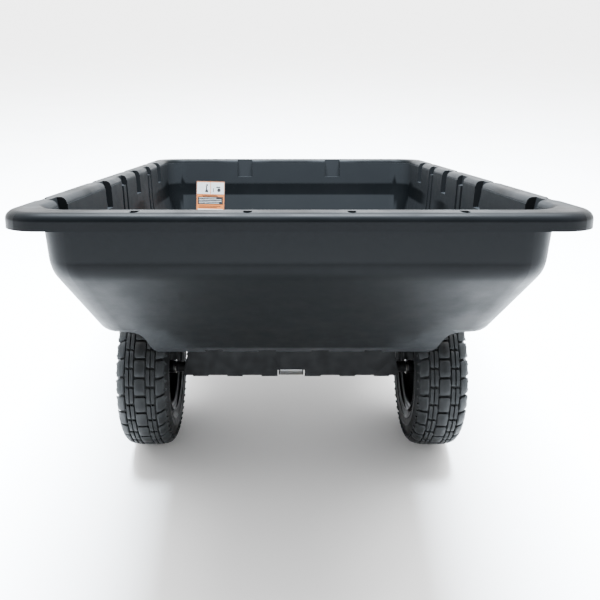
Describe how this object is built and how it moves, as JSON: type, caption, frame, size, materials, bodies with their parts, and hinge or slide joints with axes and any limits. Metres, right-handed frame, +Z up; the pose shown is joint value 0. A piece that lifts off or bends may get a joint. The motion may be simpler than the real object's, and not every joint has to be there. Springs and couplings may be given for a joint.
{
  "type": "tow behind cart",
  "caption": "Two-wheeled tow-behind dump cart: moulded open tub tipping on a pedestal over its axle, drawbar with pinned clevis hitch, released by a lever latch.",
  "frame": {"origin": "bottom centre of the whole cart's box, on the ground under it", "axes": "+X to the cart's right, +Y forward towards the tractor, +Z up; the cart leans forward 10.56 degrees, standing on its tyres and the nose of its hitch"},
  "size_m": [0.9, 1.779, 0.829],
  "materials": {
    "tub_plastic": "moulded polyethylene, satin, charcoal black",
    "label": "printed pictogram film",
    "tyre_rubber": "moulded black rubber",
    "wheel_paint": "black enamel",
    "bushing_nylon": "black nylon",
    "grip_vinyl": "dipped vinyl",
    "block_rubber": "matt rubber",
    "axle_steel": "drawn steel bar",
    "black_steel": "black powder coat",
    "zinc_plate": "bright zinc plating"
  },
  "bodies": {
    "chassis": {"drawbar": "black_steel", "pivot_sleeve": "zinc_plate", "pivot_bushing_left": "bushing_nylon", "pivot_bushing_right": "bushing_nylon", "axle": "axle_steel", "axle_spacer_left": "black_steel", "axle_spacer_right": "black_steel", "axle_washer_inner_left": "zinc_plate", "axle_washer_inner_right": "zinc_plate", "axle_washer_outer_left": "zinc_plate", "axle_washer_outer_right": "zinc_plate", "cotter_pin_left": "zinc_plate", "cotter_pin_right": "zinc_plate", "hitch_plate_upper": "zinc_plate", "hitch_plate_lower": "zinc_plate", "hitch_bolt_1": "zinc_plate", "hitch_bolt_2": "zinc_plate", "hitch_nut_1": "zinc_plate", "hitch_nut_2": "zinc_plate", "striker_bracket": "black_steel", "striker_pin": "zinc_plate", "bed_rest_block": "block_rubber"},
    "bed": {"tub": "tub_plastic", "warning_label": "label", "pedestal_rear_web": "black_steel", "pedestal_front_web": "black_steel", "pedestal_end_left": "black_steel", "pedestal_end_right": "black_steel", "pedestal_rib_left": "black_steel", "pedestal_rib_right": "black_steel", "floor_rail_left": "black_steel", "floor_rail_right": "black_steel", "front_crossmember": "black_steel", "latch_bracket": "black_steel", "latch_pivot_bolt": "zinc_plate", "latch_pivot_nut": "zinc_plate", "latch_spring": "zinc_plate", "bed_bolt_1": "zinc_plate", "bed_bolt_2": "zinc_plate", "bed_bolt_3": "zinc_plate", "bed_bolt_4": "zinc_plate", "bed_bolt_5": "zinc_plate", "bed_bolt_6": "zinc_plate"},
    "latch": {"latch_lever": "zinc_plate", "latch_grip": "grip_vinyl"},
    "hitch_pin": {"hitch_pin": "zinc_plate"},
    "wheel_left": {"tyre_left": "tyre_rubber", "rim_left_half_left": "wheel_paint", "rim_right_half_left": "wheel_paint", "wheel_hub_left": "wheel_paint", "hub_bushing_left_left": "bushing_nylon", "hub_bushing_right_left": "bushing_nylon", "valve_stem_left": "tyre_rubber"},
    "wheel_right": {"tyre_right": "tyre_rubber", "rim_left_half_right": "wheel_paint", "rim_right_half_right": "wheel_paint", "wheel_hub_right": "wheel_paint", "hub_bushing_left_right": "bushing_nylon", "hub_bushing_right_right": "bushing_nylon", "valve_stem_right": "tyre_rubber"}
  },
  "joints": [
    {"name": "dump_tilt", "type": "hinge", "parent": "chassis", "child": "bed", "pos_m": [0, -0.26979, 0.2], "axis": [1, 0, 0], "range_deg": [0, 50]},
    {"name": "wheel_left_spin", "type": "hinge", "parent": "chassis", "child": "wheel_left", "pos_m": [-0.361, -0.26979, 0.2], "axis": [1, 0, 0], "continuous": true},
    {"name": "wheel_right_spin", "type": "hinge", "parent": "chassis", "child": "wheel_right", "pos_m": [0.361, -0.26979, 0.2], "axis": [1, 0, 0], "continuous": true},
    {"name": "latch_release", "type": "hinge", "parent": "bed", "child": "latch", "pos_m": [0, 0.33587, 0.22952], "axis": [1, 0, 0], "range_deg": [-24, 0]},
    {"name": "hitch_pin_lift", "type": "slide", "parent": "chassis", "child": "hitch_pin", "axis": [0, 0.1832, 0.9831], "range_m": [0, 0.09]}
  ]
}
